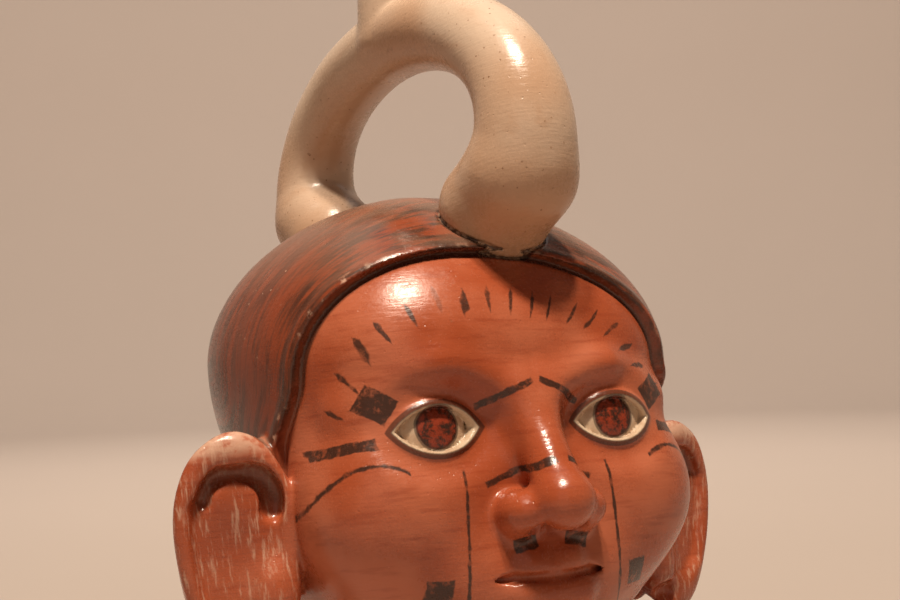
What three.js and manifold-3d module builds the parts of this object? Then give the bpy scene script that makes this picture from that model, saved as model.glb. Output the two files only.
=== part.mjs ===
// Stirrup spout vessel of fired clay: a hollow head with a close cap, large ears and a short neck,
// a hollow stirrup handle that springs from the front rim of the cap to the back of the crown, and a
// tubular spout on top of the stirrup. Head, stirrup and spout are one fired piece.
// Millimetres, +Z up, origin at the middle of the flat underside. The face looks along -Y.
import * as THREE from "three";
import { mergeVertices } from "three/addons/utils/BufferGeometryUtils.js";
import Module from "manifold-3d";

const wasm = await Module();
wasm.setup();

const { clamp, degToRad, lerp, smoothstep } = THREE.MathUtils;

// Head
const CROWN_Z = 167;
const CRANIUM = { halfWidth: 71, y: -4, z: 111, front: 79, back: 91, down: 76 };
const CRANIUM_POWER = { front: 3.1, back: 1.75, height: 1.9 };
const CAP_RELIEF = 3.2;
const CAP_STEP = 1.8;
const NECK = { y: -2, halfWidth: 52, halfDepth: 56, foot: 5, footHeight: 16, top: 48 };
const WALL = 5;
const NECK_BLEND = 18;
const FACE_BLEND = 16;

// Cap edge: an arch over the face, measured by angle round the head, then level round the nape.
// The face and the arch are turned a little from the plane of the stirrup.
const HEAD_TURN = degToRad(8);
const ARCH = { turn: degToRad(9), halfAngle: degToRad(49), z: 95, height: 48.7, power: 2.5, drop: 0.04 };
const ARCH_END = { halfAngle: degToRad(64), low: 86, high: 106 };
const NAPE = { z: 58, blend: 10 };

// Face, in its own upright frame, on thirds: hair line, brow, nose base and chin are one third apart
const TILT = degToRad(8);
const TILT_PIVOT = { y: -30, z: 85 };
const THIRD = 40;
const BROW_Z = 95;
const NOSE_BASE_Z = BROW_Z - THIRD;
const CHIN_Z = NOSE_BASE_Z - THIRD;
const EYE_Z = BROW_Z - THIRD / 4;
const MOUTH_Z = NOSE_BASE_Z - THIRD / 3;
const FACE_Y = -82;
const EYE = { x: 29, ball: 16, depth: 17.5, halfWidth: 14, halfHeight: 7.6, lid: 2.2 };

// Rounded masses of the face: middle x, y behind FACE_Y, z, radii and the reach of the blend
const JAW = { at: [0, 53, 62], radii: [64, 53, 56], power: 2.4, taper: 0.78, taperTop: 64 };
const CHEEK = { at: [37, 21, NOSE_BASE_Z + 9], radii: [24, 20, 21], reach: 18 };
const CHIN = { at: [0, 12, CHIN_Z + 7], radii: [19, 14, 12], reach: 14 };
const MUZZLE = { at: [0, 16, MOUTH_Z], radii: [29, 19, 17], reach: 14 };
const SOCKET = { at: [EYE.x, -7, EYE_Z + 1], radii: [20, 13, 12.5], reach: 9 };
const NOSE_TIP = { at: [0, -14.5, NOSE_BASE_Z + 7.5], radii: [8.2, 8.2, 7.2], reach: 4 };
const NOSE_WING = { at: [10, -5.5, NOSE_BASE_Z + 5], radii: [6.2, 9.5, 6.2], reach: 3.5 };

// Ridges of the face: points with their radii, and the reach of the blend
const BROW = {
  points: [[7, 1.5, BROW_Z - 1], [27, 3, BROW_Z + 3], [50, 17, BROW_Z - 2]],
  radii: [4.6, 5.4, 4.2],
  reach: 9,
};
const BRIDGE = {
  points: [[0, 1.5, EYE_Z + 8], [0, -14, NOSE_BASE_Z + 7.5]],
  radii: [5.2, 7.5],
  reach: 9,
};
const UPPER_LIP = {
  points: [[0, -2.6, MOUTH_Z + 4.2], [6, -2.6, MOUTH_Z + 5], [24, 7, MOUTH_Z + 1]],
  radii: [3.8, 3.9, 1.2],
  reach: 2.4,
};
const LOWER_LIP = {
  points: [[0, -2.2, MOUTH_Z - 5], [9, -1.4, MOUTH_Z - 4.6], [23, 7, MOUTH_Z - 1]],
  radii: [4.7, 4.5, 1.2],
  reach: 2.4,
};

// Stirrup: half an ellipse over the crown, with a straight leg from each end down to its foot
const STIRRUP = { z: 180, halfSpan: 72.8, rise: 44.4, radius: 13.3, flare: 2.4, turn: 0.3, legShare: 0.08 };
const STIRRUP_FOOT = { y: 56, z: 158, radius: 18.2 };
const STIRRUP_WALL = 4.2;
const THROAT = { y: 51, z: 149, radius: 9 };

// Spout
const SPOUT = { y: 3.5, foot: 219, top: 301, radius: 13.2, root: 1.3, rootHeight: 30, bore: 9.4 };
const SPOUT_LIP = { out: 0.8, height: 9, edge: 1.5 };

// Ears, each in its own frame: u from the front edge to the rear edge, v up, w out of the ear's face
const EAR = { x: 82, y: -38, z: 60, drop: 7, halfWidth: 17, thick: 5.6, back: 1.5, halfHeight: 31, power: 2.3 };
const EAR_TURN = degToRad(10);
const EAR_LEAN = degToRad(5);
const EAR_RIM = { at: 0.86, w: 2.8, radius: 3.4, reach: 2 };
const EAR_DISH = { at: [2, 6.6, 2], radii: [9.5, 6.6, 22], reach: 2 };
const EAR_LOBE = { at: [-8.5, 1.5, -15], radii: [5.5, 6, 10], reach: 5 };
const EAR_ROOT = { at: [-12, -8.5, 1], radii: [16, 7, 23], reach: 6 };

// ---- forms as signed distances, negative inside -------------------------------------------------

function blend(a, b, reach) {
  const h = Math.max(reach - Math.abs(a - b), 0) / reach;
  return Math.min(a, b) - (h * h * reach) / 4;
}

function carve(a, b, reach) {
  return -blend(-a, b, reach);
}

// Length of a vector by a power other than the square, which rounds a box off less or more.
function superLength(power, ...parts) {
  return parts.reduce((sum, part) => sum + Math.abs(part) ** power, 0) ** (1 / power);
}

function egg([x, y, z], [rx, ry, rz], power = 2) {
  const k = superLength(power, x / rx, y / ry, z / rz);
  return Math.hypot(x, y, z) * (1 - 1 / Math.max(k, 1e-3));
}

function mass([x, y, z], { at, radii, power }) {
  return egg([x - at[0], y - at[1], z - at[2]], radii, power);
}

function rod(p, a, b, ra, rb) {
  const line = new THREE.Vector3(b[0] - a[0], b[1] - a[1], b[2] - a[2]);
  const from = new THREE.Vector3(p[0] - a[0], p[1] - a[1], p[2] - a[2]);
  const t = clamp(from.dot(line) / line.lengthSq(), 0, 1);
  return from.addScaledVector(line, -t).length() - lerp(ra, rb, t);
}

function ridge(p, { points, radii, reach }) {
  let d = rod(p, points[0], points[1], radii[0], radii[1]);
  for (let i = 1; i + 1 < points.length; i += 1) {
    d = blend(d, rod(p, points[i], points[i + 1], radii[i], radii[i + 1]), reach);
  }
  return d;
}

// ---- head ---------------------------------------------------------------------------------------

function cranium([x, y, z]) {
  const dy = y - CRANIUM.y;
  const dz = z - CRANIUM.z;
  const depth = (dy < 0 ? CRANIUM.front : CRANIUM.back) - CAP_RELIEF;
  const height = dz > 0 ? CROWN_Z - CRANIUM.z - CAP_RELIEF : CRANIUM.down;
  const power = dy < 0 ? CRANIUM_POWER.front : CRANIUM_POWER.back;
  const plan = superLength(power, x / (CRANIUM.halfWidth - CAP_RELIEF), dy / depth);
  const k = superLength(CRANIUM_POWER.height, plan, dz / height);
  return Math.hypot(x, dy, dz) * (1 - 1 / Math.max(k, 1e-3));
}

// Distance from the cap's edge, positive on the cap.
function capSide([x, y, z]) {
  const rise = smoothstep(z, ARCH_END.low, ARCH_END.high);
  const turn = Math.atan2(x, CRANIUM.y - y) + ARCH.turn * rise;
  const half = lerp(ARCH_END.halfAngle, ARCH.halfAngle, rise);
  const across = Math.abs(turn) / half;
  const up = Math.max(z + ARCH.drop * x - ARCH.z, 0) / ARCH.height;
  const k = superLength(ARCH.power, across, up);
  const share = across ** 2 / (across ** 2 + up ** 2 + 1e-6);
  const size = lerp(ARCH.height, half * CRANIUM.halfWidth, share);
  return blend((k - 1) * size, z - NAPE.z, NAPE.blend);
}

function neck([x, y, z]) {
  const flare = NECK.foot * (1 - smoothstep(z, 0, NECK.footHeight));
  const k = Math.hypot(x / (NECK.halfWidth + flare), (y - NECK.y) / (NECK.halfDepth + flare));
  return Math.max((k - 1) * NECK.halfWidth, z - NECK.top);
}

// Undoes the head's turn and the face's backward tilt: across, behind the face plane, and up.
function faceFrame([x, y, z]) {
  const dy = y - TILT_PIVOT.y;
  const dz = z - TILT_PIVOT.z;
  const across = x * Math.cos(HEAD_TURN) - dy * Math.sin(HEAD_TURN);
  const along = dy * Math.cos(HEAD_TURN) + x * Math.sin(HEAD_TURN);
  const behind = TILT_PIVOT.y - FACE_Y + along * Math.cos(TILT) - dz * Math.sin(TILT);
  return [across, behind, TILT_PIVOT.z + dz * Math.cos(TILT) + along * Math.sin(TILT)];
}

function skull(p) {
  const [across, behind, up] = faceFrame(p);
  const taper = lerp(JAW.taper, 1, smoothstep(up, 0, JAW.taperTop));
  return blend(cranium(p), mass([across / taper, behind, up], JAW) * taper, FACE_BLEND);
}

function eye(d, q) {
  const [across, behind, up] = q;
  const aside = across - EYE.x;
  const ball = Math.hypot(aside, behind - EYE.depth, up - EYE_Z) - EYE.ball;
  const radius = (EYE.halfWidth ** 2 + EYE.halfHeight ** 2) / (2 * EYE.halfHeight);
  const reach = radius - EYE.halfHeight;
  const opening = Math.hypot(aside, Math.abs(up - EYE_Z) + reach) - radius;
  const lidded = blend(carve(d, mass(q, SOCKET), SOCKET.reach), Math.max(ball - EYE.lid, -opening), EYE.lid);
  return Math.min(lidded, ball);
}

function features(d, p) {
  const [across, behind, up] = faceFrame(p);
  const q = [Math.abs(across), behind, up];
  for (const form of [CHEEK, CHIN]) d = blend(d, mass(q, form), form.reach);
  d = eye(blend(d, ridge(q, BROW), BROW.reach), q);
  d = blend(d, ridge(q, BRIDGE), BRIDGE.reach);
  d = blend(d, mass(q, MUZZLE), MUZZLE.reach);
  const lips = Math.min(ridge(q, UPPER_LIP), ridge(q, LOWER_LIP));
  return blend(d, lips, UPPER_LIP.reach);
}

// Bridge, tip and wings of the nose, in the face's own frame.
function nose([across, behind, up]) {
  const q = [Math.abs(across), behind, up];
  const sides = blend(ridge(q, BRIDGE), mass(q, NOSE_WING), NOSE_WING.reach);
  return blend(sides, mass(q, NOSE_TIP), NOSE_TIP.reach);
}

function head(p) {
  const cap = smoothstep(capSide(p), -CAP_STEP, CAP_STEP) * CAP_RELIEF;
  return blend(features(skull(p), p) - cap, neck(p), NECK_BLEND);
}

function chamber(p) {
  const throat = Math.max(neck(p) + WALL, WALL + 1 - p[2]);
  return blend(skull(p) + WALL, throat, NECK_BLEND);
}

// ---- ears ---------------------------------------------------------------------------------------

function ear([x, y, z], side) {
  const dx = x * side - EAR.x;
  const dy = y - EAR.y;
  const dz = z - earHeight(side);
  const out = dx * Math.cos(EAR_TURN) + dy * Math.sin(EAR_TURN);
  const w = dx * Math.sin(EAR_TURN) - dy * Math.cos(EAR_TURN);
  const u = out * Math.cos(EAR_LEAN) - dz * Math.sin(EAR_LEAN);
  const v = dz * Math.cos(EAR_LEAN) + out * Math.sin(EAR_LEAN);
  const q = [u, w, v];
  let d = egg([u, w + EAR.back, v], [EAR.halfWidth, EAR.thick, EAR.halfHeight], EAR.power);
  const outline = superLength(EAR.power, u / EAR.halfWidth, v / EAR.halfHeight);
  const rim = Math.hypot((outline - EAR_RIM.at) * EAR.halfWidth, w - EAR_RIM.w) - EAR_RIM.radius;
  d = blend(d, rim, EAR_RIM.reach);
  d = carve(d, mass(q, EAR_DISH), EAR_DISH.reach);
  d = blend(d, mass(q, EAR_LOBE), EAR_LOBE.reach);
  return blend(d, mass(q, EAR_ROOT), EAR_ROOT.reach);
}

function earHeight(side) {
  return side > 0 ? EAR.z - EAR.drop : EAR.z;
}

// ---- geometry tools -----------------------------------------------------------------------------

function stripped(geometry) {
  geometry.deleteAttribute("normal");
  geometry.deleteAttribute("uv");
  return geometry;
}

// The last point inside the form on a way out from a point inside it.
function surfaceAlong(field, from, dir, reach) {
  const point = new THREE.Vector3();
  const at = (t) => point.copy(dir).multiplyScalar(t).add(from).toArray();
  let near = 0;
  while (near < reach && field(at(near + 1)) < 0) near += 1;
  let far = near + 1;
  for (let i = 0; i < 14; i += 1) {
    const middle = (near + far) / 2;
    if (field(at(middle)) < 0) near = middle;
    else far = middle;
  }
  return at(near);
}

function closedSphere(columns, rows) {
  return mergeVertices(stripped(new THREE.SphereGeometry(1, columns, rows)), 1e-6);
}

// A sphere round the Z axis with its columns and rows crowded towards the front.
function crowdedSphere(columns, rows, crowd) {
  const sphere = closedSphere(columns, rows);
  const position = sphere.attributes.position;
  for (let i = 0; i < position.count; i += 1) {
    const rise = Math.asin(clamp(position.getY(i), -1, 1));
    const turn = Math.atan2(-position.getX(i), -position.getZ(i));
    const height = rise - crowd * 0.3 * Math.sin(2 * rise);
    const heading = turn - crowd * Math.sin(turn);
    const reach = Math.cos(height);
    position.setXYZ(i, reach * Math.sin(heading), -reach * Math.cos(heading), Math.sin(height));
  }
  return sphere;
}

// A closed skin drawn out or in, along the way from a point inside a form, onto the form's surface.
function wrap(field, from, skin, reach) {
  const position = skin.attributes.position;
  const centre = new THREE.Vector3(...from);
  const dir = new THREE.Vector3();
  for (let i = 0; i < position.count; i += 1) {
    dir.fromBufferAttribute(position, i).normalize();
    position.setXYZ(i, ...surfaceAlong(field, centre, dir, reach));
  }
  return skin;
}

function solid(geometry) {
  const merged = mergeVertices(stripped(geometry), 1e-4);
  const made = new wasm.Manifold(
    new wasm.Mesh({
      numProp: 3,
      vertProperties: new Float32Array(merged.attributes.position.array),
      triVerts: new Uint32Array(merged.index.array),
    }),
  );
  if (made.volume() <= 0) throw new Error("a form is inside out");
  return made;
}

function geometryOf(made) {
  const mesh = made.getMesh();
  const vertices = new Float32Array(mesh.numVert * 3);
  for (let i = 0; i < mesh.numVert; i += 1) {
    vertices.set(mesh.vertProperties.subarray(i * mesh.numProp, i * mesh.numProp + 3), i * 3);
  }
  const geometry = new THREE.BufferGeometry();
  geometry.setAttribute("position", new THREE.BufferAttribute(vertices, 3));
  geometry.setIndex(new THREE.BufferAttribute(new Uint32Array(mesh.triVerts), 1));
  geometry.computeVertexNormals();
  return geometry;
}

function ball(radius, sides, y, z) {
  return solid(new THREE.SphereGeometry(radius, sides, sides / 2).translate(0, y, z));
}

// ---- stirrup ------------------------------------------------------------------------------------

class StirrupLine extends THREE.Curve {
  getPoint(t, target = new THREE.Vector3()) {
    const share = STIRRUP.legShare;
    const side = t < 0.5 ? -1 : 1;
    const fromFoot = Math.min(t, 1 - t) / share;
    const angle = lerp(-STIRRUP.turn, Math.PI / 2, Math.max((fromFoot - 1) / (0.5 / share - 1), 0));
    const y = STIRRUP.halfSpan * Math.cos(angle);
    const z = STIRRUP.z + STIRRUP.rise * Math.sin(angle);
    const down = Math.max(1 - fromFoot, 0);
    return target.set(0, side * lerp(y, STIRRUP_FOOT.y, down), lerp(z, STIRRUP_FOOT.z, down));
  }
}

function stirrupRadius(z) {
  const legTop = STIRRUP.z - STIRRUP.rise * Math.sin(STIRRUP.turn);
  const rise = Math.max(z - STIRRUP.z, legTop - STIRRUP.z) / STIRRUP.rise;
  const arch = STIRRUP.radius + STIRRUP.flare * (1 - rise) ** 2;
  return lerp(arch, STIRRUP_FOOT.radius, clamp((legTop - z) / (legTop - STIRRUP_FOOT.z), 0, 1));
}

// Round tube along the stirrup's line, thinned by the same amount everywhere, with a ball at each foot.
function stirrupTube(thinner, sides, steps) {
  const circle = new THREE.Shape();
  for (let i = 0; i < sides; i += 1) {
    const angle = (i / sides) * 2 * Math.PI;
    circle[i ? "lineTo" : "moveTo"](Math.cos(angle), Math.sin(angle));
  }
  circle.closePath();
  const line = new StirrupLine();
  const options = { steps, extrudePath: line, curveSegments: 1 };
  const tube = mergeVertices(stripped(new THREE.ExtrudeGeometry(circle, options)), 1e-4);
  const centres = line.getSpacedPoints(steps);
  const position = tube.attributes.position;
  const point = new THREE.Vector3();
  for (let i = 0; i < position.count; i += 1) {
    point.fromBufferAttribute(position, i);
    const centre = centres.reduce((best, c) => (c.distanceTo(point) < best.distanceTo(point) ? c : best));
    point.sub(centre).setLength(stirrupRadius(centre.z) - thinner).add(centre);
    position.setXYZ(i, ...point.toArray());
  }
  const footRadius = STIRRUP_FOOT.radius - thinner;
  return solid(tube)
    .add(ball(footRadius, sides, STIRRUP_FOOT.y, STIRRUP_FOOT.z))
    .add(ball(footRadius, sides, -STIRRUP_FOOT.y, STIRRUP_FOOT.z));
}

// ---- spout --------------------------------------------------------------------------------------

function lathe(profile, sides) {
  const points = profile.map(([radius, z]) => new THREE.Vector2(radius, z));
  return solid(new THREE.LatheGeometry(points, sides).rotateX(Math.PI / 2).translate(0, SPOUT.y, 0));
}

function spoutOutside(sides) {
  const { foot, top, radius, root, rootHeight } = SPOUT;
  const { out, height, edge } = SPOUT_LIP;
  return lathe(
    [
      [0, foot],
      [radius + root, foot],
      [radius, foot + rootHeight],
      [radius, top - height],
      [radius + out, top - height / 3],
      [radius + out, top - edge],
      [radius + out - edge, top],
      [0, top],
    ],
    sides,
  );
}

function spoutBore(sides) {
  const bottom = SPOUT.foot + 2;
  const past = SPOUT.top + 2;
  return lathe([[0, bottom], [SPOUT.bore, bottom], [SPOUT.bore, past], [0, past]], sides);
}

// ---- the vessel ---------------------------------------------------------------------------------

const HEAD_CENTRE = [0, -8, 68];
const GROUND = { width: 400, depth: 100 };

function earSolid(side) {
  const centre = [(EAR.x - 4) * side, EAR.y + 3, earHeight(side)];
  const disc = closedSphere(24, 12).scale(EAR.halfWidth, EAR.thick, EAR.halfHeight);
  return solid(wrap((p) => ear(p, side), centre, disc, 60));
}

// The nose is shaped in the face's frame and then tilted and turned into its place.
function noseSolid() {
  const skin = wrap(nose, [0, -5, NOSE_TIP.at[2]], closedSphere(18, 14), 60)
    .translate(0, FACE_Y - TILT_PIVOT.y, -TILT_PIVOT.z)
    .rotateX(-TILT)
    .rotateZ(-HEAD_TURN)
    .translate(0, TILT_PIVOT.y, TILT_PIVOT.z);
  return solid(skin);
}

// Everything below the underside, cut away so that the vessel stands flat.
function ground() {
  const { width, depth } = GROUND;
  return solid(new THREE.BoxGeometry(width, width, depth).translate(0, 0, -depth / 2));
}

// The empty inside: chamber, a throat into each leg, the bore of the stirrup and the bore of the spout.
function hollow() {
  return solid(wrap(chamber, HEAD_CENTRE, crowdedSphere(22, 16, 0), 130))
    .add(ball(THROAT.radius, 10, THROAT.y, THROAT.z))
    .add(ball(THROAT.radius, 10, -THROAT.y, THROAT.z))
    .add(stirrupTube(STIRRUP_WALL, 10, 22))
    .add(spoutBore(16));
}

function vessel() {
  return solid(wrap(head, HEAD_CENTRE, crowdedSphere(58, 42, 0.66), 140))
    .add(noseSolid())
    .add(earSolid(1))
    .add(earSolid(-1))
    .add(stirrupTube(0, 16, 28))
    .add(spoutOutside(22))
    .subtract(ground())
    .subtract(hollow());
}

const firedClay = new THREE.MeshStandardMaterial({ color: 0xa8472c, roughness: 0.38, metalness: 0 });
const mesh = new THREE.Mesh(geometryOf(vessel()), firedClay);
mesh.name = "vessel";
const group = new THREE.Group();
group.add(mesh);

export default group;
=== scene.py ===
import math

import bpy
import numpy as np
import openvdb
from mathutils import Matrix, Vector


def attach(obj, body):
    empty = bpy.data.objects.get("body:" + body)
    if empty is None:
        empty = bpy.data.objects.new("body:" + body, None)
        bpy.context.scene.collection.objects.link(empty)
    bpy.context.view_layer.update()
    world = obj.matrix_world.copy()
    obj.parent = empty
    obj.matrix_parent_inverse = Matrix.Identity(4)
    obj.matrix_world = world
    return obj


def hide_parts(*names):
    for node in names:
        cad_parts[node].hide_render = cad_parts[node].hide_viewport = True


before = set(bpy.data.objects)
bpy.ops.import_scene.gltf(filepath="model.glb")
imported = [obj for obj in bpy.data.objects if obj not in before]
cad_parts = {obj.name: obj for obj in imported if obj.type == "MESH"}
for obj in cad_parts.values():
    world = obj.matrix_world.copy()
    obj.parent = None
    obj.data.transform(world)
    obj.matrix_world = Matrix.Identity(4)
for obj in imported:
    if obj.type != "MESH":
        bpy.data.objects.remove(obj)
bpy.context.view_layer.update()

# The vessel is one fired piece: a hollow portrait head with a close cap, a stirrup handle and a spout.
# Every form is a signed distance in millimetres, negative inside, with the face looking along -Y.
MM = 0.001

# Head
CROWN_Z = 167.0
CRANIUM_Z = 111.0
CRANIUM = {"half_width": 71.0, "y": -4.0, "front": 79.0, "back": 91.0, "down": 76.0}
FRONT_POWER = 3.1
BACK_POWER = 1.75
HEIGHT_POWER = 1.9
CAP_RELIEF = 3.2
NECK = {"y": -2.0, "half_width": 52.0, "half_depth": 56.0, "foot": 5.0, "foot_height": 16.0, "top": 48.0}

# Cap edge: an arch over the face, measured by angle round the head, then level round the nape.
# The face and the arch are turned a little from the plane of the stirrup.
HEAD_TURN = math.radians(8)
ARCH = {"turn": math.radians(9), "half_angle": math.radians(49), "z": 95.0, "height": 48.7, "power": 2.5}
ARCH_DROP = 0.04
ARCH_END = {"half_angle": math.radians(64), "low": 86.0, "high": 106.0}
NAPE_Z = 58.0

# Face, in its own upright frame, on thirds: hair line, brow, nose base and chin are one third apart
TILT = math.radians(8)
TILT_PIVOT = (-30.0, 85.0)
THIRD = 40.0
BROW_Z = 95.0
NOSE_BASE_Z = BROW_Z - THIRD
CHIN_Z = NOSE_BASE_Z - THIRD
EYE_Z = BROW_Z - THIRD / 4
MOUTH_Z = NOSE_BASE_Z - THIRD / 3
EYE_X = 29.0
EYE_BALL = 16.0
EYE_BALL_DEPTH = 17.5
EYE_HALF = (14.0, 7.6)
EYE_ARC = (EYE_HALF[0] ** 2 + EYE_HALF[1] ** 2) / (2 * EYE_HALF[1])
EYE_LID = 1.6
LID_ROLL = 1.45
IRIS_RADIUS = 6.2
FACE_Y = -82.0

# Rounded masses of the face: middle across, behind FACE_Y and up, radii, and the reach of the blend
JAW = {"at": (0, 53, 62), "radii": (64, 53, 56), "power": 2.4, "taper": 0.78, "taper_top": 64}
CHEEK = {"at": (37, 21, NOSE_BASE_Z + 9), "radii": (24, 20, 21), "reach": 18}
CHIN = {"at": (0, 12, CHIN_Z + 7), "radii": (19, 14, 12), "reach": 14}
MUZZLE = {"at": (0, 16, MOUTH_Z), "radii": (29, 19, 17), "reach": 14}
SOCKET = {"at": (EYE_X, -7, EYE_Z + 1), "radii": (20, 13, 12.5), "reach": 9}
NOSE_TIP = {"at": (0, -14.5, NOSE_BASE_Z + 7.5), "radii": (8.2, 8.2, 7.2), "reach": 4}
NOSE_WING = {"at": (10, -5.5, NOSE_BASE_Z + 5), "radii": (6.2, 9.5, 6.2), "reach": 3.5}
NOSTRIL = {"at": (5.6, -8.5, NOSE_BASE_Z - 0.5), "radii": (2.8, 4.6, 3.6), "reach": 2}

# Ridges and grooves of the face: points, the radius at each, the reach between them and of the blend
BROW = {"points": ((7, 1.5, BROW_Z - 1), (27, 3, BROW_Z + 3), (50, 17, BROW_Z - 2)),
        "radii": (4.6, 5.4, 4.2), "joint": 6, "reach": 9}
BRIDGE = {"points": ((0, 1.5, EYE_Z + 8), (0, -14, NOSE_BASE_Z + 7.5)), "radii": (5.2, 7.5), "reach": 9}
PHILTRUM = {"points": ((0, -7.4, NOSE_BASE_Z - 3), (0, -7.8, MOUTH_Z + 6)), "radii": (2, 2.8), "reach": 3}
UPPER_LIP = {"points": ((0, -1.6, MOUTH_Z + 3.2), (6, -1.6, MOUTH_Z + 4), (24, 7, MOUTH_Z + 0.4)),
             "radii": (3.8, 3.9, 1.2), "joint": 3, "reach": 2.4}
LOWER_LIP = {"points": ((0, -1.2, MOUTH_Z - 4.2), (9, -0.4, MOUTH_Z - 4), (23, 7, MOUTH_Z - 0.6)),
             "radii": (4.7, 4.5, 1.2), "joint": 3, "reach": 2.4}
LIP_PARTING = {"points": ((0, -6.4, MOUTH_Z - 0.4), (12, -3.4, MOUTH_Z + 0.3), (25, 5, MOUTH_Z)),
               "radii": (1.2, 1.2, 0.7), "joint": 1, "reach": 1.6}

# Stirrup and spout
STIRRUP = {"z": 180.0, "half_span": 72.8, "rise": 44.4, "radius": 13.3, "flare": 2.4, "turn": 0.3}
STIRRUP_FOOT = {"y": 56.0, "z": 158.0, "radius": 18.2}
SPOUT = {"y": 3.5, "foot": 219.0, "top": 301.0, "radius": 13.2, "root": 1.3, "lip": 0.8, "edge": 1.6,
         "bore": 9.4}
WALL = 5.0
STIRRUP_WALL = 4.2
THROAT = {"y": 51.0, "z": 149.0, "radius": 9.0}

# Ears, each in its own frame: from the front edge to the rear edge, out of the ear's face, and up
EAR = {"x": 82.0, "y": -38.0, "z": 60.0, "half_width": 17.0, "half_height": 31.0, "drop": 7.0}
EAR_TURN = math.radians(10)
EAR_LEAN = math.radians(5)
EAR_TOP = EAR["half_height"]
EAR_POWER = 2.3
EAR_RIM = {"share": 0.88, "out": 2.6, "radius": (3.4, 2.6), "reach": 3}
EAR_DISH = {"at": (3, 7.6, -3), "radii": (8.5, 5.2, 19), "reach": 4}
EAR_HOLLOW = {"at": (-1, 2.8, 12), "radius": 10, "tube": (2.0, 3.7), "angles": (0.3, 3.4), "reach": 2.2}
EAR_GROOVE = {"points": ((9.6, 5.4, 12), (9, 6.0, -14)), "radii": (1.8, 1.2), "reach": 5}
EAR_LOBE = {"at": (-8.5, 1.5, -15), "radii": (5.5, 6, 10), "reach": 5}
EAR_NOTCH = {"at": (-7, 6, -27), "radii": (5, 5, 4), "reach": 3}
EAR_RIDGE = {"points": ((-2, -1, EAR_TOP - 4), (-13, -9, EAR_TOP - 6)), "radii": (3.0, 4.0), "reach": 8}
EAR_ROOT = {"at": (-8, -8.5, -3), "radii": (13, 8, 28), "reach": 6}

# How far forms run into each other where they meet
FACE_BLEND = 16
NECK_BLEND = 18
EAR_BLEND = 2.5
SEAM = 0.7

# Mesh
COARSE_CELL = 4.0
FINE_SPLIT = 5
HOLLOW_SPLIT = 2
OUTER_TRIANGLES = 176000
HOLLOW_TRIANGLES = 16000
LOW = np.array([-106.0, -124.0, -4.0])
HIGH = np.array([106.0, 96.0, 306.0])


# ---- field tools ------------------------------------------------------------------------------------

def ramp(low, high, t):
    s = np.clip((t - low) / (high - low), 0, 1)
    return s * s * (3 - 2 * s)


def blend(a, b, k):
    h = np.maximum(k - np.abs(a - b), 0) / k
    return np.minimum(a, b) - h * h * k / 4


def carve(a, b, k):
    return -blend(-a, b, k)


def egg(x, y, z, radii, power=2.0):
    rx, ry, rz = radii
    if power == 2.0:
        k = np.sqrt((x / rx) ** 2 + (y / ry) ** 2 + (z / rz) ** 2)
    else:
        k = (np.abs(x / rx) ** power + np.abs(y / ry) ** power + np.abs(z / rz) ** power) ** (1 / power)
    return np.sqrt(x * x + y * y + z * z) * (1 - 1 / np.maximum(k, 1e-3))


def rod(x, y, z, a, b, ra, rb):
    dx, dy, dz = b[0] - a[0], b[1] - a[1], b[2] - a[2]
    t = ((x - a[0]) * dx + (y - a[1]) * dy + (z - a[2]) * dz) / (dx * dx + dy * dy + dz * dz)
    t = np.clip(t, 0, 1)
    gap = np.sqrt((x - a[0] - t * dx) ** 2 + (y - a[1] - t * dy) ** 2 + (z - a[2] - t * dz) ** 2)
    return gap - (ra + (rb - ra) * t)


def shape(x, y, z, form):
    """Distance from a rounded mass, or from a ridge along its points."""
    if "at" in form:
        at = form["at"]
        return egg(x - at[0], y - at[1], z - at[2], form["radii"])
    points, radii = form["points"], form["radii"]
    d = rod(x, y, z, points[0], points[1], radii[0], radii[1])
    for i in range(1, len(points) - 1):
        d = blend(d, rod(x, y, z, points[i], points[i + 1], radii[i], radii[i + 1]), form["joint"])
    return d


def joined(d, x, y, z, *forms):
    for form in forms:
        d = blend(d, shape(x, y, z, form), form["reach"])
    return d


def carved(d, x, y, z, *forms):
    for form in forms:
        d = carve(d, shape(x, y, z, form), form["reach"])
    return d


def face_frame(x, y, z):
    """Undoes the head's turn and the face's backward tilt, so that its features are placed upright."""
    dy, dz = y - TILT_PIVOT[0], z - TILT_PIVOT[1]
    across = x * math.cos(HEAD_TURN) - dy * math.sin(HEAD_TURN)
    dy = dy * math.cos(HEAD_TURN) + x * math.sin(HEAD_TURN)
    return (across, TILT_PIVOT[0] + dy * math.cos(TILT) - dz * math.sin(TILT),
            TILT_PIVOT[1] + dz * math.cos(TILT) + dy * math.sin(TILT))


# ---- head ---------------------------------------------------------------------------------------------

def cranium(x, y, z):
    dy, dz = y - CRANIUM["y"], z - CRANIUM_Z
    depth = np.where(dy < 0, CRANIUM["front"], CRANIUM["back"]) - CAP_RELIEF
    height = np.where(dz > 0, CROWN_Z - CRANIUM_Z - CAP_RELIEF, CRANIUM["down"])
    power = np.where(dy < 0, FRONT_POWER, BACK_POWER)
    across = np.abs(x / (CRANIUM["half_width"] - CAP_RELIEF)) ** power
    plan = (across + np.abs(dy / depth) ** power) ** (1 / power)
    k = (plan ** HEIGHT_POWER + np.abs(dz / height) ** HEIGHT_POWER) ** (1 / HEIGHT_POWER)
    return np.sqrt(x * x + dy * dy + dz * dz) * (1 - 1 / np.maximum(k, 1e-3))


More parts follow.
